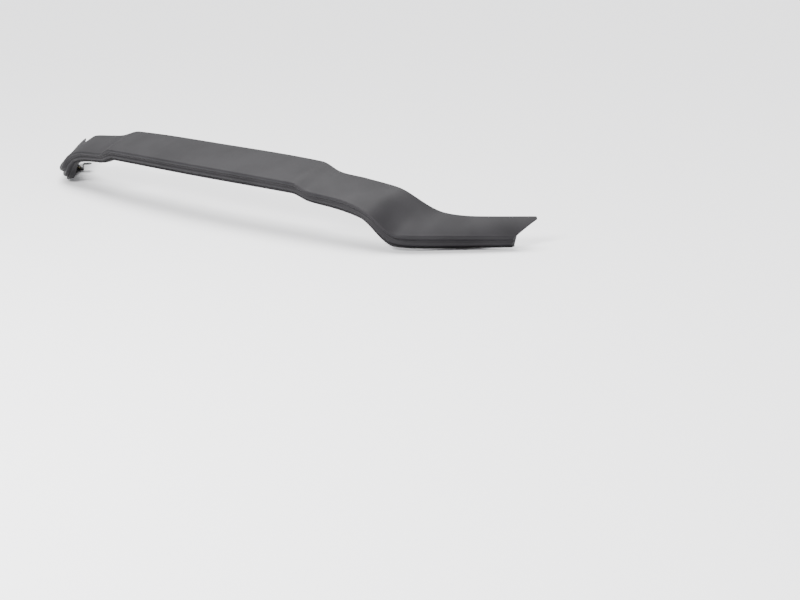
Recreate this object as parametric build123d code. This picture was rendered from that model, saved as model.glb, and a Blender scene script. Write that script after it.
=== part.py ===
"""Hood bug deflector: a moulded shield over a hood's front edge, with the hardware that holds it.

Millimetres. X runs across the hood, +Y to the rear, +Z up. The shield is symmetric about X = 0.
The origin is midway between the open holes of the two inner brackets, on the underside of their
upper legs.
"""
from build123d import *
from bisect import bisect_right
from math import atan2, cos, degrees, hypot, radians, sin
import os

# Half the shield's width, measured along its rear edge
half_width = 862.0

# The shield's three long edges, as stations from the centre out. Each is how far across, how far
# behind the middle of the crease, and how far above it. They are drawn for the width of the last
# rear station, and stretch across with half_width.
crease_stations = [
    (0, 0, -1), (345, 16, -6), (395, 21, -23), (490, 31, -30), (565, 41, -52), (640, 66, -102),
    (735, 145, -105), (839, 254, -110),
]
lip_stations = [
    (0, 18, -29), (338, 33, -32), (390, 38, -46), (470, 46, -54), (540, 55, -68), (624, 84, -130),
    (722, 172, -135), (829, 270, -135),
]
rear_stations = [
    (0, 116, 41), (348, 131, 34), (413, 126, 17), (482, 146, 6), (573, 154, -5), (686, 189, -57),
    (750, 240, -66), (862, 336, -67),
]
# A section stands wherever a long edge has turned this many degrees since the last one, or at the
# longest step. They run on past the end, which is then cut off.
section_turn = 9.0
section_step = 1.0
section_longest = 90.0
past_end = 40.0
end_radius = 4.0

# The section: a crowned face and a tight crease, then down the lip a cove, a bead, a groove and a
# sharp trimmed rim, and the flange that turns in under it. A place down the lip is a share of its
# tuck and of its drop.
wall = 3.0
face_crown = 3.0
crease_forward = 4.4
crease_up = 1.8
cove = (0.44, 0.30)
bead = (0.32, 0.66)
groove = (0.90, 0.86)
rim = (0.80, 1.0)
crease_radius = 5.0
cove_radius = 3.0
bead_radius = 5.0
flange_depth = 12.0

# Mounting tabs on the flange, one for each bracket. The outer one keeps its place from the end.
outer_tab_from_end = 117.0
tab_places = [150.0, 440.0, half_width - outer_tab_from_end]
tab_front = 4.0
tab_width = 38.0
tab_depth = 30.0
tab_corner = 9.0
tab_hole_back = 17.0

# Bracket: a folded strap with a lower leg on the tab, a riser and an upper leg under the hood
bracket_width = 24.0
bracket_thick = 2.0
bracket_front = 7.0
bracket_riser_back = 29.0
bracket_rise = 14.0
bracket_reach = 54.0
bracket_bend = 3.0
bracket_corner = 6.0
open_hole_back = 43.0
open_hole_radius = 3.5

# Screw from below, with a nylon washer under its head and a nut on the bracket
screw_radius = 3.0
screw_length = 17.0
screw_head_radius = 6.0
screw_head_height = 3.4
screw_head_chamfer = 1.4
screw_recess_radius = 1.6
screw_recess_depth = 1.8
hole_clearance = 0.3
washer_radius = 9.0
washer_thick = 1.5
nut_across_flats = 10.0
nut_height = 5.0
thread_clearance = 0.02

# Foam pads on the lining near the rear edge. The outer one keeps its place from the end.
outer_pad_from_end = 87.0
pad_places = [105.0, 290.0, 500.0, half_width - outer_pad_from_end]
pad_share = 0.80
pad_length = 24.0
pad_width = 13.0
pad_height = 8.0
pad_taper = 8.0

drawn_half = rear_stations[-1][0]
stretch_across = half_width / drawn_half


def slope_between(before, after):
    """Gives a smooth curve's slope where two straight slopes meet: level at a turning point."""
    if before * after <= 0:
        return 0.0
    return 2 * before * after / (before + after)


def rail(stations, across):
    """Gives a rail's distance back and height at a distance from the centre, on a smooth curve."""
    x = abs(across)
    xs = [station[0] * stretch_across for station in stations]
    i = min(bisect_right(xs, x) - 1, len(xs) - 2)
    found = []
    for axis in (1, 2):
        values = [station[axis] for station in stations]
        runs = [b - a for a, b in zip(xs, xs[1:])]
        slopes = [(b - a) / run for a, b, run in zip(values, values[1:], runs)]
        tangents = [0.0] + [slope_between(*pair) for pair in zip(slopes, slopes[1:])] + slopes[-1:]
        if x > xs[-1]:
            found.append(values[-1] + slopes[-1] * (x - xs[-1]))
            continue
        t = (x - xs[i]) / runs[i]
        start = values[i] * (1 + 2 * t) * (1 - t) ** 2 + tangents[i] * runs[i] * t * (1 - t) ** 2
        finish = values[i + 1] * t ** 2 * (3 - 2 * t) - tangents[i + 1] * runs[i] * t ** 2 * (1 - t)
        found.append(start + finish)
    return Vector(*found)


def corners(across):
    """Gives the named corners of the section's outside at one place, before they are rounded."""
    crease = rail(crease_stations, across)
    foot = rail(lip_stations, across)
    tuck = foot.X - crease.X
    drop = foot.Y - crease.Y
    stretch = tuck / (lip_stations[0][1] - crease_stations[0][1])
    found = {
        "rear": rail(rear_stations, across),
        "crease": crease + Vector(-crease_forward, crease_up),
        "foot": foot,
        "flange": foot + Vector(flange_depth * stretch, 0),
    }
    for name, shares in (("cove", cove), ("bead", bead), ("groove", groove), ("rim", rim)):
        found[name] = crease + Vector(tuck * shares[0], drop * shares[1])
    return found


def set_in(across, start, end):
    """Gives the line between two corners, set in by the wall measured square to the skin."""
    here = corners(across)
    before = corners(across - 1)
    after = corners(across + 1)
    along = (here[end] - here[start]).normalized()
    lean = ((after[start] - before[start]) + (after[end] - before[end])) / 4
    inward = Vector(-along.Y, along.X)
    step = inward * wall * hypot(1, lean.dot(inward))
    return here[start] + step, here[end] + step


def meet(first, second):
    """Gives the point where two lines cross."""
    u = first[1] - first[0]
    v = second[1] - second[0]
    gap = second[0] - first[0]
    return first[0] + u * ((gap.X * v.Y - gap.Y * v.X) / (u.X * v.Y - u.Y * v.X))


def crowned(rear, front):
    """Draws the face from its rear edge to the crease as a shallow arc."""
    face = rear - front
    proud = Vector(-face.Y, face.X).normalized() * face_crown
    return ThreePointArc(rear, (rear + front) / 2 + proud, front).edge()


def section(across):
    """Draws the shield's closed section in the plane at one place."""
    outside = corners(across)
    names = ["rear", "crease", "cove", "bead", "groove", "rim", "flange"]
    rounding = [crease_radius, cove_radius, bead_radius, 0, 0]
    skin = FilletPolyline(*[outside[name] for name in names], radius=rounding).edges()
    face = set_in(across, "rear", "crease")
    lip = set_in(across, "cove", "foot")
    flange = set_in(across, "foot", "flange")
    under_crease = meet(face, lip)
    lining = Polyline(under_crease, meet(lip, flange), flange[1]).edges()
    edges = [crowned(outside["rear"], skin[0] @ 1)] + skin[1:]
    edges += [crowned(face[0], under_crease)] + lining
    edges += [Line(outside["rear"], face[0]).edge(), Line(outside["flange"], flange[1]).edge()]
    return Plane(origin=(across, 0, 0), x_dir=(0, 1, 0), z_dir=(1, 0, 0)) * Wire(edges)


def at(stations, across):
    """Gives a rail's point in space."""
    place = rail(stations, across)
    return Vector(across, place.X, place.Y)


def last_point(stations):
    """Gives the end of a rail."""
    return at(stations, stations[-1][0] * stretch_across)


def end_plane():
    """Gives the plane that cuts the shield's end, along the gap beside the hood."""
    crease_end = last_point(crease_stations)
    to_rear = last_point(rear_stations) - crease_end
    to_lip = last_point(lip_stations) - crease_end
    outward = to_rear.cross(to_lip)
    if outward.X < 0:
        outward = -outward
    return Plane(origin=crease_end, z_dir=outward)


def corner_cutter():
    """Rounds the shield's rear corner, seen from above."""
    tip = last_point(rear_stations)
    to_centre = at(rear_stations, half_width - 2 * end_radius) - tip
    to_front = last_point(crease_stations) - tip
    to_centre = Vector(to_centre.X, to_centre.Y).normalized()
    to_front = Vector(to_front.X, to_front.Y).normalized()
    half_angle = radians(to_centre.get_angle(to_front)) / 2
    reach = end_radius * cos(half_angle) / sin(half_angle)
    flat_tip = Vector(tip.X, tip.Y)
    bisector = (to_centre + to_front).normalized()
    start = flat_tip + to_centre * reach
    end = flat_tip + to_front * reach
    near = flat_tip + bisector * (end_radius / sin(half_angle) - end_radius)
    beyond = flat_tip - bisector * end_radius
    edges = [Line(beyond, start), ThreePointArc(start, near, end), Line(end, beyond)]
    blank = extrude(make_face(edges), 2 * past_end)
    return Pos(0, 0, tip.Z - past_end) * blank


def headings(across):
    """Gives the directions in which the three long edges run at one place."""
    edges = (crease_stations, lip_stations, rear_stations)
    return [at(edge, across + section_step) - at(edge, across) for edge in edges]


def section_places():
    """Gives the places of one half's sections, closer together where the long edges turn."""
    places = [0.0]
    start = headings(0.0)
    across = 0.0
    while across < half_width + past_end:
        across += section_step
        here = headings(across)
        turned = max(now.get_angle(then) for now, then in zip(here, start))
        if turned > section_turn or across - places[-1] >= section_longest:
            places.append(across)
            start = here
    return places + [across + section_step]


def shell():
    """The moulded sheet: lofted through its sections, then cut and rounded at the ends."""
    half = [section(place) for place in section_places()]
    sheet = Solid.make_loft([wire.mirror(Plane.YZ) for wire in half[:0:-1]] + half, ruled=True)
    right_end = end_plane()
    left_end = Plane(
        origin=(-right_end.origin.X, right_end.origin.Y, right_end.origin.Z),
        z_dir=(-right_end.z_dir.X, right_end.z_dir.Y, right_end.z_dir.Z),
    )
    sheet = split(split(sheet, right_end, keep=Keep.BOTTOM), left_end, keep=Keep.BOTTOM)
    cutter = corner_cutter()
    return sheet - cutter - cutter.mirror(Plane.YZ)


def tab_location(across):
    """Gives a tab's frame: at the foot of the lip, with X along it, Y back and Z up."""
    foot = at(lip_stations, across)
    ahead = at(lip_stations, across + 1) - at(lip_stations, across - 1)
    return Location(foot, (0, 0, degrees(atan2(ahead.Y, ahead.X))))


def hole(back, radius, low, high):
    """A cutter for an upright hole in a tab's frame."""
    return Pos(0, back, (low + high) / 2) * Cylinder(radius, high - low + 2)


def tab():
    """One mounting tab, flat, from inside the foot of the lip back."""
    plate = RectangleRounded(tab_width, 2 * tab_depth, tab_corner)
    front = Pos(0, tab_front - tab_depth, 0) * Box(2 * tab_width, 2 * tab_depth, 4 * wall)
    return extrude(plate, wall) - front


def bracket():
    """A strap folded up behind the nut, with an open hole in its upper leg."""
    low = wall + bracket_thick / 2
    line = FilletPolyline(
        (bracket_front, low), (bracket_riser_back, low),
        (bracket_riser_back, low + bracket_rise), (bracket_reach, low + bracket_rise),
        radius=bracket_bend,
    )
    side = Plane(origin=(-bracket_width / 2, 0, 0), x_dir=(0, 1, 0), z_dir=(1, 0, 0))
    strap = extrude(side * trace(line, bracket_thick), bracket_width)
    upright = strap.edges().filter_by(Axis.Z).sort_by(Axis.Y)
    strap = chamfer(list(upright[:2]) + list(upright[-2:]), bracket_corner)
    top = wall + bracket_thick + bracket_rise
    strap -= hole(tab_hole_back, screw_radius + hole_clearance, wall, wall + bracket_thick)
    return strap - hole(open_hole_back, open_hole_radius, top - bracket_thick, top)


def screw():
    """A pan-head screw, head down, with a hexagon recess."""
    head = Pos(0, 0, -screw_head_height / 2) * Cylinder(screw_head_radius, screw_head_height)
    head = chamfer(head.edges().sort_by(Axis.Z)[0], screw_head_chamfer)
    shank = Pos(0, 0, screw_length / 2) * Cylinder(screw_radius, screw_length)
    recess = extrude(RegularPolygon(screw_recess_radius, 6), screw_recess_depth)
    solid = head + shank - Pos(0, 0, -screw_head_height) * recess
    return Pos(0, tab_hole_back, -washer_thick) * solid


def washer():
    """The nylon washer between the screw's head and the tab."""
    ring = Cylinder(washer_radius, washer_thick)
    ring -= Cylinder(screw_radius + hole_clearance, 2 * washer_thick)
    return Pos(0, tab_hole_back, -washer_thick / 2) * ring


def nut():
    """The hexagon nut on the bracket's lower leg."""
    blank = extrude(RegularPolygon(nut_across_flats / 2, 6, major_radius=False), nut_height)
    blank -= Pos(0, 0, nut_height / 2) * Cylinder(screw_radius + thread_clearance, 2 * nut_height)
    return Pos(0, tab_hole_back, wall + bracket_thick) * blank


def pad(across):
    """A tapered foam block that starts inside the wall and stands square to the lining."""
    face = at(rear_stations, across) - at(crease_stations, across)
    ahead = at(crease_stations, across + 1) * (1 - pad_share)
    ahead += at(rear_stations, across + 1) * pad_share
    spot = at(crease_stations, across) * (1 - pad_share) + at(rear_stations, across) * pad_share
    down = (ahead - spot).cross(face)
    if down.Z > 0:
        down = -down
    block = extrude(Rectangle(pad_length, pad_width), wall + pad_height, taper=pad_taper)
    return Plane(origin=spot, x_dir=ahead - spot, z_dir=down) * block


def both_sides(build):
    """Gives a shape at each tab, from the left end to the right: the left ones are mirrored."""
    right = [tab_location(place) * build() for place in tab_places]
    return [shape.mirror(Plane.YZ) for shape in right[::-1]] + right


def seats():
    """A cutter for a tab's hole, and for the flat seats of the bracket above it and washer below."""
    leg_width = bracket_width + 2 * hole_clearance
    leg_back = bracket_front - hole_clearance
    leg = Pos(0, leg_back + tab_depth / 2, wall + bracket_thick / 2)
    below = Pos(0, tab_hole_back, -washer_thick / 2)
    cutter = leg * Box(leg_width, tab_depth, bracket_thick)
    cutter += below * Cylinder(washer_radius + hole_clearance, washer_thick)
    return cutter + hole(tab_hole_back, screw_radius + hole_clearance, 0, wall)


def shield():
    """The shell with its mounting tabs, their holes and their seats."""
    body = shell()
    for plate in both_sides(tab):
        body += plate
    for cutter in both_sides(seats):
        body -= cutter
    return body


def origin():
    """Gives the midpoint between the inner brackets' open holes, on their upper legs' underside."""
    spot = tab_location(tab_places[0]) * Pos(0, open_hole_back, wall + bracket_rise)
    return Vector(0, spot.position.Y, spot.position.Z)


def main():
    os.makedirs("parts", exist_ok=True)
    to_row = Pos(*(-origin()))
    body = shield()
    parts = {"shield": body}
    for i, shape in enumerate(both_sides(bracket)):
        parts[f"bracket_{i + 1}"] = shape
    right = [pad(place) for place in pad_places]
    for i, block in enumerate([shape.mirror(Plane.YZ) for shape in right[::-1]] + right):
        parts[f"pad_{i + 1}"] = (block - body).solids().sort_by(SortBy.VOLUME)[-1]
    for name, build in (("screws", screw), ("washers", washer), ("nuts", nut)):
        parts[name] = Compound(both_sides(build))
    for name, shape in parts.items():
        export_step(to_row * shape, f"parts/{name}.step")


main()
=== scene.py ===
"""Looks of the hood bug deflector: its shield, brackets, screws, washers, nuts and foam pads.

Metres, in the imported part's own frame: X across the hood, +Y to the rear, +Z up.
"""

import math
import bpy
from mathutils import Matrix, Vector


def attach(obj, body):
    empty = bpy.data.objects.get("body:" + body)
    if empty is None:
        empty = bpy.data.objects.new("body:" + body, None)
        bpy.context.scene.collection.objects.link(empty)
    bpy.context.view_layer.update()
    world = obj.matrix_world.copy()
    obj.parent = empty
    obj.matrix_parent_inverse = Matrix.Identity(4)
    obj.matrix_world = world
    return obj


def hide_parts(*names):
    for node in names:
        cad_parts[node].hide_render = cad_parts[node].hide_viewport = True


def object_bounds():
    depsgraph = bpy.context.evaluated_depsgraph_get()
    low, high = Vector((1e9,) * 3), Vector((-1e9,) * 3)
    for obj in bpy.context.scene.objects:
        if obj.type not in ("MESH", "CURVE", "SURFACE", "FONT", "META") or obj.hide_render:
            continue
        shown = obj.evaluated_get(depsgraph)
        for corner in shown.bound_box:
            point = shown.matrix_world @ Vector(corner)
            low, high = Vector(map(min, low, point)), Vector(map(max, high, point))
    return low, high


bl_info = {
    "name": "Hood bug deflector",
    "version": (1, 0, 0),
    "blender": (4, 5, 0),
    "location": "View3D > Sidebar > Deflector",
    "description": "Dresses a moulded hood shield and its hardware, and sets its stage",
    "category": "Object",
}

import bmesh
import bpy
from bisect import bisect_right
from bpy.props import FloatProperty, FloatVectorProperty, IntProperty, PointerProperty, StringProperty
from mathutils import Matrix, Vector

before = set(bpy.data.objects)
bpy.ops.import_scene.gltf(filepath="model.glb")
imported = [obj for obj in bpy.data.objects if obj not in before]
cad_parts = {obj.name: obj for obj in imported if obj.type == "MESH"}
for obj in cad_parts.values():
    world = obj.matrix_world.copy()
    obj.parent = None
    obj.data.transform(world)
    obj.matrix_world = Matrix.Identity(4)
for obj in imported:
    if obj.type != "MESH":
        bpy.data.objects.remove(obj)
cad_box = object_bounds()

MILLIMETRE = 0.001
BODY = "root"
BRACKETS = sorted(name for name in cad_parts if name.startswith("bracket_"))
PADS = sorted(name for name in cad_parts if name.startswith("pad_"))

# The sizes of the shield, tabs and fasteners are in millimetres.
# The shield's long edges, from the centre out: how far across, and how far behind and above the
# datum, which lies on the centre line, 1 mm above the crease
CREASE = (
    (0, 0, -1), (345, 16, -6), (395, 21, -23), (490, 31, -30), (565, 41, -52), (640, 66, -102),
    (735, 145, -105), (839, 254, -110),
)
LIP = (
    (0, 18, -29), (338, 33, -32), (390, 38, -46), (470, 46, -54), (540, 55, -68), (624, 84, -130),
    (722, 172, -135), (829, 270, -135),
)
REAR = (
    (0, 116, 41), (348, 131, 34), (413, 126, 17), (482, 146, 6), (573, 154, -5), (686, 189, -57),
    (750, 240, -66), (862, 336, -67),
)
# The part's origin, from the datum: midway between the open holes of the two inner brackets
ORIGIN = Vector((0, 64.9431, -12.6118))
# A direction along the shield is read over this much to both sides of a place
BESIDE = 1.0

# The section: its wall, how far its face bows out, and where the crease's corner would lie before
# it is rounded, as how far behind and above the crease's line
WALL = 3.0
FACE_CROWN = 3.0
FACE_STEPS = 14
CREASE_CORNER = Vector((-4.4, 1.8))
# Places down the lip, as shares of its tuck and of its drop
LIP_FORMS = {"cove": (0.54, 0.30), "bead": (0.26, 0.62), "groove": (0.97, 0.83), "rim": (0.72, 1.0)}
# The radius that rounds each corner of the section, and its number of facets
ROUNDINGS = {"crease": (5.0, 8), "cove": (3.0, 8), "bead": (5.0, 8), "groove": (1.2, 3), "rim": (0.7, 3)}
# Over the last stretch before each end the flange narrows to a share of its depth
FLANGE_DEPTH = 12.0
FLANGE_FADE = 70.0
FLANGE_LEAST = 0.3

# The sections run this far past the rear edge, and a slanted cut takes the rest away
PAST_END = 40.0
# The rear corner of each end is rounded by a few cuts within a stretch from its tip; the rear
# edge's direction at the tip is that of a short chord
TIP_FACETS = 5
TIP_STRETCH = 50.0
TIP_CHORD = 10.0
# A point this close to a cutting plane lies on it
CUT_SLACK = 0.0001

# The mounting tabs: how far across each pair lies, and their outline back from the foot of the lip
TAB_PLACES = (150.0, 440.0, 745.0)
TAB_WIDTH = 38.0
TAB_FRONT = 8.0
TAB_REACH = 30.0
TAB_CORNER = 9.0
TAB_CORNER_STEPS = 6
HOLE_BACK = 17.0
HOLE_RADIUS = 3.3
HOLE_STEPS = 32
# A tab's faces lie this far inside the flange's own, so that no two share a plane
TAB_INSET = 0.05

# The fasteners: half profiles of (radius, height), with the height up from the face that seats, and
# the steps that each is turned in
WASHER_THICK = 1.5
BRACKET_THICK = 2.0
SCREW_PROFILE = (
    (0, -3.4), (4.2, -3.4), (5.1, -3.1), (5.7, -2.4), (6, -1.4), (6, -0.25), (5.75, 0),
    (2.42, 0), (2.42, 16.4), (1.9, 16.98), (0, 16.98),
)
SCREW_STEPS = 48
# The hexagon recess in the screw's head runs up from below the head
RECESS_RADIUS = 1.6
RECESS_BOTTOM = -5
RECESS_TOP = -1.6
THREAD_PROFILE = ((2.3, 1.9), (2.97, 2.3), (2.97, 2.4), (2.3, 2.8), (2.3, 1.9))
THREAD_STEPS = 32
THREAD_TURNS = 14
THREAD_PITCH = 1.0
WASHER_PROFILE = (
    (3.32, -0.25), (3.6, 0), (8.7, 0), (8.93, -0.1), (9, -0.35), (9, -1.1), (8.85, -1.38),
    (8.55, -WASHER_THICK), (3.6, -WASHER_THICK), (3.32, -1.25), (3.32, -0.25),
)
WASHER_STEPS = 64
NUT_ACROSS_FLATS = 10
NUT_THICK = 5
NUT_ROUNDING = ((0, -0.001), (4.9, -0.001), (6.2, 0.75), (6.2, 4.25), (4.9, 5.001), (0, 5.001))
NUT_ROUNDING_STEPS = 64
NUT_BORE = ((0, -1), (4.1, -1), (3.02, 0.5), (3.02, 4.5), (4.1, 6), (0, 6))
NUT_BORE_STEPS = 48
# Points this close are merged: on a turned piece's axis, along its seam, and in a CAD node's copy
AXIS_MERGE = 0.001
SEAM_MERGE = 0.002
CAD_MERGE = 0.005

# Rounded edges: their width, their facets, and the least turn of an edge that is rounded
STRAP_EDGES = (0.3, 2, math.radians(40))
FOAM_EDGES = (1.1, 4, math.radians(30))
# Edges that turn less than this are shaded smooth
METAL_SMOOTH = math.radians(35)
NUT_SMOOTH = math.radians(25)
FOAM_SMOOTH = math.radians(40)
# The moulded skin's texture makes it this much more or less rough from place to place
SKIN_SPREAD = 0.04

# The stage: millimetres between the part and the floor, and across the camera's sensor; metres that
# the camera sees; and the overhead light's place, as a multiple of its direction
FLOOR_GAP = 0.5
SENSOR_WIDTH = 36.0
VIEW_DEPTH = 100.0
OVERHEAD_OUT = 3


def linear(hex_colour):
    """Turns an sRGB hex colour into linear red, green, blue and full alpha."""
    channels = [int(hex_colour[i:i + 2], 16) / 255 for i in (1, 3, 5)]
    return [c / 12.92 if c <= 0.04045 else ((c + 0.055) / 1.055) ** 2.4 for c in channels] + [1.0]


def add_node(tree, kind, links=(), sockets=None, feeds=()):
    """Adds a shader node with its sockets' values, the links that feed it and those that it feeds.

    A link is (its socket, the node that feeds it, that node's output), and a feed is (its output,
    the node that it feeds, that node's socket).
    """
    node = tree.nodes.new(kind)
    for name, value in (sockets or {}).items():
        node.inputs[name].default_value = value
    for socket, source, output in links:
        tree.links.new(source.outputs[output], node.inputs[socket])
    for output, target, socket in feeds:
        tree.links.new(node.outputs[output], target.inputs[socket])
    return node


def new_material(name):
    """Gives a new material, its node tree, its shader and its Object coordinates."""
    material = bpy.data.materials.new(name)
    material.use_nodes = True
    tree = material.node_tree
    shader = tree.nodes["Principled BSDF"]
    place = add_node(tree, "ShaderNodeTexCoord")
    return material, tree, shader, place


def colour_by(tree, shader, pattern, output, low, high):
    """Colours a shader between two shades by a pattern; each is (the pattern's value, sRGB hex)."""
    ramp = add_node(
        tree, "ShaderNodeValToRGB", [("Fac", pattern, output)], feeds=[("Color", shader, "Base Color")],
    )
    for element, (value, shade) in zip(ramp.color_ramp.elements, (low, high)):
        element.position = value
        element.color = linear(shade)


def moulded_acrylic(settings):
    """Thermoformed acrylic with a satin, finely textured outer skin: soft, broad reflections."""
    material, tree, shader, place = new_material("moulded_acrylic_satin_black")
    cloud = add_node(
        tree, "ShaderNodeTexNoise", [("Vector", place, "Object")],
        sockets={"Scale": 1 / (90 * MILLIMETRE), "Detail": 2.0, "Roughness": 0.5},
    )
    low, high = (0.35, settings.shield_dark), (0.65, settings.shield_light)
    colour_by(tree, shader, cloud, "Fac", low, high)
    # The mould's texture is about 0.4 mm; it is drawn at 1.5 mm so that it shows as a fine sheen
    grain = add_node(
        tree, "ShaderNodeTexNoise", [("Vector", place, "Object")],
        sockets={"Scale": 1 / (1.5 * MILLIMETRE), "Detail": 3.0, "Roughness": 0.6},
    )
    shiniest = settings.shield_roughness - SKIN_SPREAD
    dullest = settings.shield_roughness + SKIN_SPREAD
    add_node(
        tree, "ShaderNodeMapRange", [("Value", grain, "Fac")],
        sockets={"To Min": shiniest, "To Max": dullest}, feeds=[("Result", shader, "Roughness")],
    )
    add_node(
        tree, "ShaderNodeBump", [("Height", grain, "Fac")],
        sockets={"Strength": 0.12, "Distance": 0.03 * MILLIMETRE}, feeds=[("Normal", shader, "Normal")],
    )
    shader.inputs["IOR"].default_value = 1.49
    shader.inputs["Specular IOR Level"].default_value = 0.15
    return material


def coated_steel():
    """Steel strap with a black electro-coat: even and fairly dull, with a fine orange peel."""
    material, tree, shader, place = new_material("electrocoated_steel_black")
    peel = add_node(
        tree, "ShaderNodeTexNoise", [("Vector", place, "Object")],
        sockets={"Scale": 1 / (1.2 * MILLIMETRE), "Detail": 2.0},
    )
    colour_by(tree, shader, peel, "Fac", (0.3, "#1b1b1d"), (0.7, "#28282a"))
    add_node(
        tree, "ShaderNodeMapRange", [("Value", peel, "Fac")],
        sockets={"To Min": 0.34, "To Max": 0.48}, feeds=[("Result", shader, "Roughness")],
    )
    add_node(
        tree, "ShaderNodeBump", [("Height", peel, "Fac")],
        sockets={"Strength": 0.25, "Distance": 0.04 * MILLIMETRE}, feeds=[("Normal", shader, "Normal")],
    )
    return material


def zinc_plate(name, light, dark):
    """Zinc-plated steel: a soft metal sheen with faint clouds where the passivate dried."""
    material, tree, shader, place = new_material(name)
    shader.inputs["Metallic"].default_value = 1.0
    cloud = add_node(
        tree, "ShaderNodeTexNoise", [("Vector", place, "Object")],
        sockets={"Scale": 1 / (4 * MILLIMETRE), "Detail": 3.0},
    )
    colour_by(tree, shader, cloud, "Fac", (0.3, dark), (0.7, light))
    add_node(
        tree, "ShaderNodeMapRange", [("Value", cloud, "Fac")],
        sockets={"To Min": 0.28, "To Max": 0.45}, feeds=[("Result", shader, "Roughness")],
    )
    return material


def natural_nylon():
    """Moulded nylon 6/6 in its natural off-white: slightly translucent, with a waxy gloss."""
    material, tree, shader, place = new_material("moulded_nylon_natural")
    cloud = add_node(
        tree, "ShaderNodeTexNoise", [("Vector", place, "Object")],
        sockets={"Scale": 1 / (6 * MILLIMETRE), "Detail": 2.0},
    )
    colour_by(tree, shader, cloud, "Fac", (0.3, "#d8d2c0"), (0.7, "#e6e1d2"))
    shader.inputs["Roughness"].default_value = 0.35
    shader.inputs["IOR"].default_value = 1.53
    shader.inputs["Subsurface Weight"].default_value = 0.15
    shader.inputs["Subsurface Radius"].default_value = [1.5 * MILLIMETRE] * 3
    return material


def cell_foam():
    """Closed-cell EPDM foam, skived and die-cut: dull black with small open pores in its sides."""
    material, tree, shader, place = new_material("closed_cell_epdm_foam")
    cells = add_node(
        tree, "ShaderNodeTexVoronoi", [("Vector", place, "Object")],
        sockets={"Scale": 1 / (0.8 * MILLIMETRE)},
    )
    colour_by(tree, shader, cells, "Distance", (0.0, "#0d0d0e"), (0.5, "#232325"))
    shader.inputs["Roughness"].default_value = 0.9
    add_node(
        tree, "ShaderNodeBump", [("Height", cells, "Distance")],
        sockets={"Strength": 0.6, "Distance": 0.2 * MILLIMETRE}, feeds=[("Normal", shader, "Normal")],
    )
    return material


def only(obj):
    """Selects one object and makes it active."""
    bpy.ops.object.select_all(action="DESELECT")
    obj.select_set(True)
    bpy.context.view_layer.objects.active = obj
    return obj


def in_frame(point):
    """Turns a point in millimetres from the datum into metres in the part's frame."""
    return (Vector(point) - ORIGIN) * MILLIMETRE


def slope_between(before, after):
    """Gives a smooth curve's slope where two straight slopes meet: level at a turning point."""
    if before * after <= 0:
        return 0.0
    return 2 * before * after / (before + after)


def rail(stations, across):
    """Gives how far back and how high a long edge is at one place, on a smooth curve."""
    x = abs(across)
    xs = [station[0] for station in stations]
    i = min(bisect_right(xs, x) - 1, len(xs) - 2)
    runs = [b - a for a, b in zip(xs, xs[1:])]
    found = []
    for axis in (1, 2):
        values = [station[axis] for station in stations]
        slopes = [(b - a) / run for a, b, run in zip(values, values[1:], runs)]
        tangents = [0.0] + [slope_between(*pair) for pair in zip(slopes, slopes[1:])] + slopes[-1:]
        if x > xs[-1]:
            found.append(values[-1] + slopes[-1] * (x - xs[-1]))
            continue
        s = (x - xs[i]) / runs[i]
        start = values[i] * (1 + 2 * s) * (1 - s) ** 2 + tangents[i] * runs[i] * s * (1 - s) ** 2
        finish = values[i + 1] * s ** 2 * (3 - 2 * s) - tangents[i + 1] * runs[i] * s ** 2 * (1 - s)
        found.append(start + finish)
    return Vector(found)


def rail_point(stations, across):
    """Gives a long edge's point in space, in millimetres."""
    place = rail(stations, across)
    return Vector((across, place.x, place.y))


def corners(across):
    """Gives the named corners of the section's outside at one place, before they are rounded."""
    crease = rail(CREASE, across)
    foot = rail(LIP, across)
    fall = foot - crease
    stretch = fall.x / (LIP[0][1] - CREASE[0][1])
    fade = min(max((LIP[-1][0] - abs(across)) / FLANGE_FADE, FLANGE_LEAST), 1.0)
    found = {
        "rear": rail(REAR, across), "crease": crease + CREASE_CORNER, "foot": foot,
        "flange": foot + Vector((FLANGE_DEPTH * stretch * fade, 0)),
    }
    for name, shares in LIP_FORMS.items():
        found[name] = crease + Vector((fall.x * shares[0], fall.y * shares[1]))
    return found


def set_in(across, start, end):
    """Gives the line between two corners, set in by the wall measured square to the skin."""
    here, before, after = corners(across), corners(across - BESIDE), corners(across + BESIDE)
    along = (here[end] - here[start]).normalized()
    # How far the two corners move, on average, for each millimetre across
    lean = ((after[start] - before[start]) + (after[end] - before[end])) / (4 * BESIDE)
    inward = Vector((-along.y, along.x))
    step = inward * WALL * math.hypot(1, lean.dot(inward))
    return here[start] + step, here[end] + step


def meet(first, second):
    """Gives the point where two lines cross."""
    u, v, gap = first[1] - first[0], second[1] - second[0], second[0] - first[0]
    return first[0] + u * (gap.cross(v) / u.cross(v))


def rounded(before, corner, after, radius, steps):
    """Gives the points of the arc that rounds one corner."""
    u, v = (before - corner).normalized(), (after - corner).normalized()
    half = u.angle(v) / 2
    start = corner + u * radius / math.tan(half)
    end = corner + v * radius / math.tan(half)
    centre = corner + (u + v).normalized() * radius / math.sin(half)
    spokes = [(start - centre).lerp(end - centre, i / steps).normalized() for i in range(steps + 1)]
    return [centre + spoke * radius for spoke in spokes]


def crowned(rear, front):
    """Gives the points of the face from its rear edge to the crease, on a shallow arc."""
    face = rear - front
    proud = Vector((-face.y, face.x)).normalized() * FACE_CROWN
    shares = [i / FACE_STEPS for i in range(FACE_STEPS + 1)]
    return [rear.lerp(front, s) + proud * 4 * s * (1 - s) for s in shares]


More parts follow.
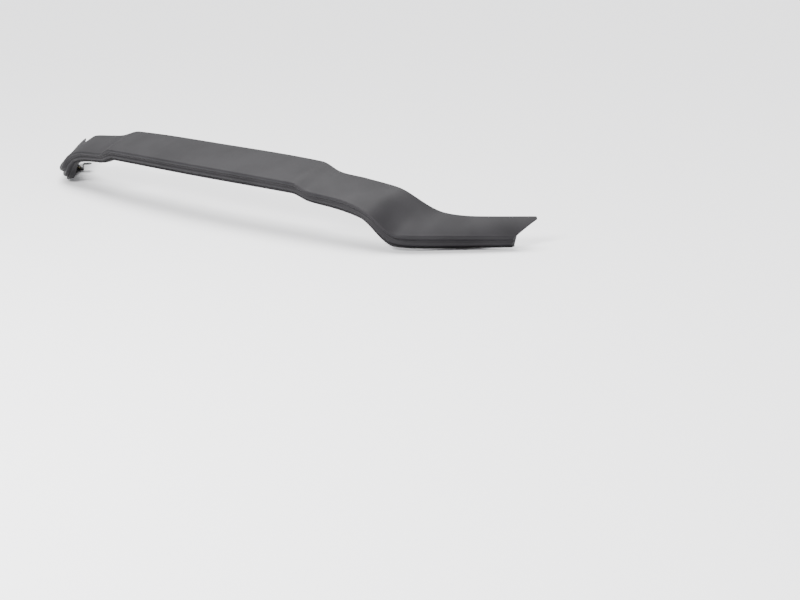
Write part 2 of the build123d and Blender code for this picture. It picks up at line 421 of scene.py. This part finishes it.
def section(across):
    """Gives the points round the shield's section at one place, in millimetres."""
    outside = corners(across)
    names = ["rear", *ROUNDINGS, "flange"]
    skin = []
    for before, name, after in zip(names, names[1:], names[2:]):
        skin += rounded(outside[before], outside[name], outside[after], *ROUNDINGS[name])
    face = set_in(across, "rear", "crease")
    lip = set_in(across, "cove", "foot")
    flange = set_in(across, "foot", "flange")
    under_crease = meet(face, lip)
    points = crowned(outside["rear"], skin[0])[:-1] + skin + [outside["flange"], flange[1]]
    points += [meet(lip, flange)] + crowned(face[0], under_crease)[::-1]
    return [Vector((across, point.x, point.y)) for point in points]


def end_plane():
    """Gives a point and the outward direction of the plane that cuts the shield's right end."""
    ends = [rail_point(stations, stations[-1][0]) for stations in (CREASE, LIP, REAR)]
    outward = (ends[2] - ends[0]).cross(ends[1] - ends[0]).normalized()
    return ends[0], outward if outward.x > 0 else -outward


def cut(grid, geometry, point, outward):
    """Cuts away what lies beyond a plane, and closes the cut."""
    done = bmesh.ops.bisect_plane(
        grid, geom=geometry, plane_co=in_frame(point), plane_no=outward, clear_outer=True,
        dist=CUT_SLACK * MILLIMETRE,
    )
    edges = [item for item in done["geom_cut"] if isinstance(item, bmesh.types.BMEdge)]
    bmesh.ops.triangle_fill(grid, edges=edges, use_beauty=True)


def round_tip(grid, side, radius):
    """Rounds the rear corner of one end, seen from above, with a few upright cuts."""
    tip = rail_point(REAR, REAR[-1][0])
    to_centre = rail_point(REAR, REAR[-1][0] - TIP_CHORD) - tip
    to_front = rail_point(CREASE, CREASE[-1][0]) - tip
    to_centre, to_front = [Vector((v.x, v.y, 0)).normalized() for v in (to_centre, to_front)]
    half = to_centre.angle(to_front) / 2
    centre = tip + (to_centre + to_front).normalized() * radius / math.sin(half)
    first, last = [(tip + v * radius / math.tan(half) - centre) for v in (to_centre, to_front)]
    flip = Vector((side, 1, 1))
    for i in range(TIP_FACETS):
        spoke = first.lerp(last, (i + 0.5) / TIP_FACETS)
        spoke.z = 0
        spoke.normalize()
        inner = (tip.x - TIP_STRETCH) * MILLIMETRE
        near = {v for v in grid.verts if abs(v.co.x) > inner and v.co.x * side > 0}
        faces = [face for face in grid.faces if not near.isdisjoint(face.verts)]
        # Each point and edge once, in the order of the faces
        points = dict.fromkeys(vertex for face in faces for vertex in face.verts)
        edges = dict.fromkeys(edge for face in faces for edge in face.edges)
        geometry = [*points, *edges, *faces]
        cut(grid, geometry, (centre + spoke * radius) * flip, spoke * flip)


def draw_shield(grid, count, tip_radius):
    """Draws the shield's closed wall through its sections, and cuts both its ends."""
    spacing = (REAR[-1][0] + PAST_END) / count
    rows = []
    for i in range(-count, count + 1):
        rows.append([grid.verts.new(in_frame(point)) for point in section(spacing * i)])
    for row, following in zip(rows, rows[1:]):
        for j in range(len(row)):
            k = (j + 1) % len(row)
            grid.faces.new((row[j], row[k], following[k], following[j]))
    point, outward = end_plane()
    for side in (1, -1):
        flip = Vector((side, 1, 1))
        everything = list(grid.verts) + list(grid.edges) + list(grid.faces)
        cut(grid, everything, point * flip, outward * flip)
        round_tip(grid, side, tip_radius)


def on_circle(angle):
    """Gives the point at an angle on the unit circle round Z."""
    return Vector((math.cos(angle), math.sin(angle), 0))


def draw_tab(grid):
    """Draws one mounting tab about its hole's axis: square at the lip, rounded at the back."""
    half, front = TAB_WIDTH / 2, TAB_FRONT - HOLE_BACK
    outline = [Vector((half, front, TAB_INSET)), Vector((-half, front, TAB_INSET))]
    for side, turn in ((-1, 180), (1, 90)):
        centre = Vector((side * (half - TAB_CORNER), TAB_REACH - TAB_CORNER - HOLE_BACK, TAB_INSET))
        for i in range(TAB_CORNER_STEPS + 1):
            angle = math.radians(turn - 90 * i / TAB_CORNER_STEPS)
            outline.append(centre + on_circle(angle) * TAB_CORNER)
    inset = Vector((0, 0, TAB_INSET))
    hole = [on_circle(math.tau * i / HOLE_STEPS) * HOLE_RADIUS + inset for i in range(HOLE_STEPS)]
    edges = []
    for loop in (outline, hole):
        points = [grid.verts.new(point * MILLIMETRE) for point in loop]
        edges += [grid.edges.new(pair) for pair in zip(points, points[1:] + points[:1])]
    flat = bmesh.ops.triangle_fill(grid, edges=edges, use_beauty=True)["geom"]
    faces = [item for item in flat if isinstance(item, bmesh.types.BMFace)]
    extruded = bmesh.ops.extrude_face_region(grid, geom=faces, use_keep_orig=True)["geom"]
    top = [item for item in extruded if isinstance(item, bmesh.types.BMVert)]
    bmesh.ops.translate(grid, vec=Vector((0, 0, (WALL - 2 * TAB_INSET) * MILLIMETRE)), verts=top)


def tab_place(across):
    """Gives a tab's frame in metres: at the foot of the lip, with X along it, Y back and Z up."""
    ahead = rail_point(LIP, across + BESIDE) - rail_point(LIP, across - BESIDE)
    turn = Matrix.Rotation(math.atan2(ahead.y, ahead.x), 4, "Z")
    return Matrix.Translation(in_frame(rail_point(LIP, across))) @ turn


def piece_from(name, build):
    """Makes a mesh object at the origin from a function that fills a bmesh."""
    mesh = bpy.data.meshes.new(name)
    grid = bmesh.new()
    build(grid)
    bmesh.ops.recalc_face_normals(grid, faces=grid.faces)
    grid.to_mesh(mesh)
    grid.free()
    piece = bpy.data.objects.new(name, mesh)
    bpy.context.scene.collection.objects.link(piece)
    return only(piece)


def modify(piece, kind, **settings):
    """Adds a modifier, sets it and applies it."""
    only(piece)
    modifier = piece.modifiers.new(kind.lower(), kind)
    for name, value in settings.items():
        setattr(modifier, name, value)
    bpy.ops.object.modifier_apply(modifier=modifier.name)


def round_edges(piece, width, facets, least_turn):
    """Rounds the edges of a piece that turn by more than an angle, with a width in millimetres."""
    modify(
        piece, "BEVEL", width=width * MILLIMETRE, segments=facets, limit_method="ANGLE",
        angle_limit=least_turn,
    )


def smooth(piece, angle):
    """Shades a piece smooth across the edges that turn by less than an angle."""
    only(piece)
    bpy.ops.object.shade_smooth_by_angle(angle=angle)


def lathe(name, profile, steps, turns=1, pitch=0.0):
    """Turns a profile of (radius, height) in millimetres about Z, or winds it as a thread."""
    def draw(grid):
        points = [grid.verts.new(Vector((r, 0, z)) * MILLIMETRE) for r, z in profile]
        for pair in zip(points, points[1:]):
            grid.edges.new(pair)
    piece = piece_from(name, draw)
    modify(
        piece, "SCREW", steps=steps, render_steps=steps, iterations=turns, use_merge_vertices=True,
        merge_threshold=AXIS_MERGE * MILLIMETRE, screw_offset=pitch * MILLIMETRE,
        use_normal_calculate=True,
    )
    # The seam and poles are merged, and a thread's two ends are closed
    grid = bmesh.new()
    grid.from_mesh(piece.data)
    bmesh.ops.remove_doubles(grid, verts=grid.verts, dist=SEAM_MERGE * MILLIMETRE)
    bmesh.ops.dissolve_degenerate(grid, edges=grid.edges, dist=SEAM_MERGE * MILLIMETRE)
    bmesh.ops.holes_fill(grid, edges=[edge for edge in grid.edges if edge.is_boundary], sides=0)
    bmesh.ops.recalc_face_normals(grid, faces=grid.faces)
    grid.to_mesh(piece.data)
    grid.free()
    return piece


def joined(pieces, name):
    """Joins pieces into one."""
    bpy.ops.object.select_all(action="DESELECT")
    for piece in pieces:
        piece.select_set(True)
    bpy.context.view_layer.objects.active = pieces[0]
    bpy.ops.object.join()
    pieces[0].name = name
    pieces[0].data.name = name
    return pieces[0]


def boolean(piece, tool, operation):
    """Cuts a piece with a tool, or keeps what they share, and drops the tool."""
    modify(piece, "BOOLEAN", object=tool, operation=operation, solver="EXACT")
    bpy.data.objects.remove(tool)


def hexagon(name, radius, low, high):
    """Makes an upright hexagonal prism between two heights, in millimetres."""
    bpy.ops.mesh.primitive_cylinder_add(
        vertices=6, radius=radius * MILLIMETRE, depth=(high - low) * MILLIMETRE,
        location=(0, 0, (low + high) / 2 * MILLIMETRE),
    )
    bpy.ops.object.transform_apply()
    bpy.context.object.name = name
    return bpy.context.object


def screw():
    """Makes one pan-head screw, with its hexagon recess and its thread."""
    head = lathe("screw_head", SCREW_PROFILE, SCREW_STEPS)
    boolean(head, hexagon("recess", RECESS_RADIUS, RECESS_BOTTOM, RECESS_TOP), "DIFFERENCE")
    thread = lathe("thread", THREAD_PROFILE, THREAD_STEPS, THREAD_TURNS, THREAD_PITCH)
    piece = joined([head, thread], "screw")
    smooth(piece, METAL_SMOOTH)
    return piece


def washer():
    """Makes one washer with rounded rims."""
    piece = lathe("washer", WASHER_PROFILE, WASHER_STEPS)
    smooth(piece, METAL_SMOOTH)
    return piece


def nut():
    """Makes one hexagon nut, with its corners turned down and its bore countersunk."""
    piece = hexagon("nut", NUT_ACROSS_FLATS / math.sqrt(3), 0, NUT_THICK)
    boolean(piece, lathe("rounding", NUT_ROUNDING, NUT_ROUNDING_STEPS), "INTERSECT")
    boolean(piece, lathe("bore", NUT_BORE, NUT_BORE_STEPS), "DIFFERENCE")
    smooth(piece, NUT_SMOOTH)
    return piece


def at_each_tab(master, name, height):
    """Copies a piece, drawn about its hole's axis, to the six tabs, and joins the copies."""
    lift = Matrix.Translation(Vector((0, HOLE_BACK, height)) * MILLIMETRE)
    copies = []
    for place in [tab_place(side * across) for across in TAB_PLACES for side in (1, -1)]:
        copy = bpy.data.objects.new(name, master.data.copy())
        bpy.context.scene.collection.objects.link(copy)
        copy.data.transform(place @ lift)
        copies.append(copy)
    bpy.data.objects.remove(master)
    return joined(copies, name)


def merged_copy(node, name):
    """Copies a CAD node into a piece of its own, with its loose triangles joined."""
    only(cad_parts[node])
    bpy.ops.object.duplicate()
    piece = only(bpy.context.selected_objects[0])
    piece.name = name
    piece.parent = None
    for key in list(piece.keys()):
        del piece[key]
    bpy.ops.object.mode_set(mode="EDIT")
    bpy.ops.mesh.select_all(action="SELECT")
    bpy.ops.mesh.remove_doubles(threshold=CAD_MERGE * MILLIMETRE)
    bpy.ops.object.mode_set(mode="OBJECT")
    return piece


def dress(piece, material):
    """Gives a piece its one material, and lets it ride on the part."""
    piece.data.materials.clear()
    piece.data.materials.append(material)
    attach(piece, BODY)


class ShieldSettings(bpy.types.PropertyGroup):
    """Colours, finish and fineness of the moulded shield."""

    shield_dark: StringProperty(
        name="Darker shade", description="Darker of the moulding's two shades, sRGB hex",
        default="#201f21",
    )
    shield_light: StringProperty(
        name="Lighter shade", description="Lighter of the moulding's two shades, sRGB hex",
        default="#262527",
    )
    shield_roughness: FloatProperty(
        name="Roughness", description="How dull the moulded skin is", default=0.56, min=0.0, max=1.0,
    )
    sections_per_half: IntProperty(
        name="Sections", description="Sections from the centre to past one end", default=150, min=20,
    )
    tip_radius: FloatProperty(
        name="Tip radius", description="Millimetres that round the rear corner of each end",
        default=4.0, min=0.5,
    )
    smooth_angle: FloatProperty(
        name="Smooth angle", description="Edges that turn less than this are shaded smooth",
        default=math.radians(34), subtype="ANGLE",
    )


class StageSettings(bpy.types.PropertyGroup):
    """Camera, floor and light."""

    camera_place: FloatVectorProperty(
        name="Camera", description="Where the camera stands", default=(2.4875, -2.2549, 0.6526),
        subtype="TRANSLATION", unit="LENGTH",
    )
    camera_turn: FloatVectorProperty(
        name="Camera turn", description="The camera's rotation",
        default=(math.radians(72.944), 0.0, math.radians(39.17)), subtype="EULER", unit="ROTATION",
    )
    lens: FloatProperty(
        name="Lens", description="Focal length in millimetres on a 36 mm sensor", default=57.84,
    )
    floor_colour: StringProperty(
        name="Floor colour", description="Colour of the pale floor, sRGB hex", default="#f6f6f7",
    )
    floor_roughness: FloatProperty(
        name="Floor roughness", description="How dull the floor is", default=0.9, min=0.0, max=1.0,
    )
    floor_size: FloatProperty(
        name="Floor", description="Width of the pale floor", default=40.0, unit="LENGTH",
    )
    world_colour: StringProperty(
        name="Room colour", description="Colour of the pale light all round, sRGB hex",
        default="#f4f4f6",
    )
    world_strength: FloatProperty(
        name="Room light", description="Strength of the pale light all round", default=0.8, min=0.0,
    )
    light_from: FloatVectorProperty(
        name="Light from", description="Where the soft light comes from", default=(-0.3, 0.12, 1.0),
        subtype="DIRECTION",
    )
    light_angle: FloatProperty(
        name="Softness", description="How wide the overhead light looks from the part",
        default=math.radians(50), subtype="ANGLE",
    )
    light_strength: FloatProperty(
        name="Overhead", description="Strength of the soft overhead light", default=6.2, min=0.0,
    )
    front_place: FloatVectorProperty(
        name="Front light", description="Where the small front light stands", default=(0.8, -2.8, 1.8),
        subtype="TRANSLATION", unit="LENGTH",
    )
    front_size: FloatProperty(
        name="Front size", description="Width of the small front light", default=1.0, unit="LENGTH",
    )
    front_power: FloatProperty(
        name="Front power", description="Watts of the small front light", default=190.0, min=0.0,
    )


class DEFLECTOR_OT_shield(bpy.types.Operator):
    """Models the shield along its three long edges, with its rolled crease, lip and mounting tabs"""

    bl_idname = "deflector.shield"
    bl_label = "Shield"

    def execute(self, context):
        settings = context.scene.deflector_shield

        def whole_shield(grid):
            draw_shield(grid, settings.sections_per_half, settings.tip_radius)

        tabs = at_each_tab(piece_from("mounting_tab", draw_tab), "mounting_tabs", 0)
        piece = joined([piece_from("moulded_shield", whole_shield), tabs], "moulded_shield")
        smooth(piece, settings.smooth_angle)
        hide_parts("shield")
        dress(piece, moulded_acrylic(settings))
        return {"FINISHED"}


class DEFLECTOR_OT_hardware(bpy.types.Operator):
    """Models the brackets, screws, washers and nuts"""

    bl_idname = "deflector.hardware"
    bl_label = "Brackets and fasteners"

    def execute(self, context):
        coat = coated_steel()
        for name in BRACKETS:
            strap = merged_copy(name, "strap_" + name)
            round_edges(strap, *STRAP_EDGES)
            smooth(strap, METAL_SMOOTH)
            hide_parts(name)
            dress(strap, coat)

        screws = at_each_tab(screw(), "pan_head_screws", -WASHER_THICK)
        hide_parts("screws")
        dress(screws, zinc_plate("zinc_plated_steel_clear", "#c9ccd0", "#a4a8ad"))

        washers = at_each_tab(washer(), "nylon_washers", 0)
        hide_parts("washers")
        dress(washers, natural_nylon())

        nuts = at_each_tab(nut(), "hexagon_nuts", WALL + BRACKET_THICK)
        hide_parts("nuts")
        dress(nuts, zinc_plate("zinc_plated_steel_yellow", "#c8bf9a", "#a39b78"))
        return {"FINISHED"}


class DEFLECTOR_OT_pads(bpy.types.Operator):
    """Models the foam pads on the lining, with their soft rounded edges"""

    bl_idname = "deflector.pads"
    bl_label = "Foam pads"

    def execute(self, context):
        foam = cell_foam()
        for name in PADS:
            block = merged_copy(name, "foam_" + name)
            round_edges(block, *FOAM_EDGES)
            smooth(block, FOAM_SMOOTH)
            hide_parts(name)
            dress(block, foam)
        return {"FINISHED"}


class DEFLECTOR_OT_stage(bpy.types.Operator):
    """Sets the camera at the photograph's angle, a pale floor and soft light"""

    bl_idname = "deflector.stage"
    bl_label = "Stage"

    def execute(self, context):
        settings = context.scene.deflector_stage
        bpy.ops.object.camera_add(location=settings.camera_place, rotation=settings.camera_turn)
        camera = context.object
        camera.name = "photo_camera"
        camera.data.lens = settings.lens
        camera.data.sensor_width = SENSOR_WIDTH
        camera.data.clip_end = VIEW_DEPTH
        context.scene.camera = camera

        bpy.ops.mesh.primitive_plane_add(
            size=settings.floor_size, location=(0, 0, cad_box[0].z - FLOOR_GAP * MILLIMETRE),
        )
        floor = context.object
        floor.name = "floor"
        pale = bpy.data.materials.new("pale_floor")
        pale.use_nodes = True
        shader = pale.node_tree.nodes["Principled BSDF"]
        shader.inputs["Base Color"].default_value = linear(settings.floor_colour)
        shader.inputs["Roughness"].default_value = settings.floor_roughness
        floor.data.materials.append(pale)

        aim = Vector(settings.light_from)
        bpy.ops.object.light_add(type="SUN", location=aim * OVERHEAD_OUT)
        lamp = context.object
        lamp.name = "soft_overhead_light"
        lamp.data.energy = settings.light_strength
        lamp.data.angle = settings.light_angle
        lamp.rotation_euler = aim.to_track_quat("Z", "Y").to_euler()

        place = Vector(settings.front_place)
        bpy.ops.object.light_add(type="AREA", location=place)
        lamp = context.object
        lamp.name = "front_light"
        lamp.data.size = settings.front_size
        lamp.data.energy = settings.front_power
        lamp.rotation_euler = place.to_track_quat("Z", "Y").to_euler()

        world = bpy.data.worlds.new("pale_room")
        world.use_nodes = True
        room = world.node_tree.nodes["Background"]
        room.inputs["Color"].default_value = linear(settings.world_colour)
        room.inputs["Strength"].default_value = settings.world_strength
        context.scene.world = world
        return {"FINISHED"}


class DEFLECTOR_PT_panel(bpy.types.Panel):
    """Lists the steps that dress the deflector"""

    bl_label = "Hood bug deflector"
    bl_idname = "DEFLECTOR_PT_panel"
    bl_space_type = "VIEW_3D"
    bl_region_type = "UI"
    bl_category = "Deflector"

    def draw(self, context):
        for operator in OPERATORS:
            self.layout.operator(operator.bl_idname)
        for name in ("shield_roughness", "smooth_angle"):
            self.layout.prop(context.scene.deflector_shield, name)
        for name in ("camera_place", "lens", "world_strength"):
            self.layout.prop(context.scene.deflector_stage, name)


OPERATORS = (DEFLECTOR_OT_shield, DEFLECTOR_OT_hardware, DEFLECTOR_OT_pads, DEFLECTOR_OT_stage)
CLASSES = (ShieldSettings, StageSettings, *OPERATORS, DEFLECTOR_PT_panel)


def register():
    for cls in CLASSES:
        bpy.utils.register_class(cls)
    bpy.types.Scene.deflector_shield = PointerProperty(type=ShieldSettings)
    bpy.types.Scene.deflector_stage = PointerProperty(type=StageSettings)


def unregister():
    del bpy.types.Scene.deflector_stage
    del bpy.types.Scene.deflector_shield
    for cls in reversed(CLASSES):
        bpy.utils.unregister_class(cls)


def main():
    register()
    bpy.ops.deflector.shield()
    bpy.ops.deflector.hardware()
    bpy.ops.deflector.pads()
    bpy.ops.deflector.stage()


if __name__ == "__main__":
    main()
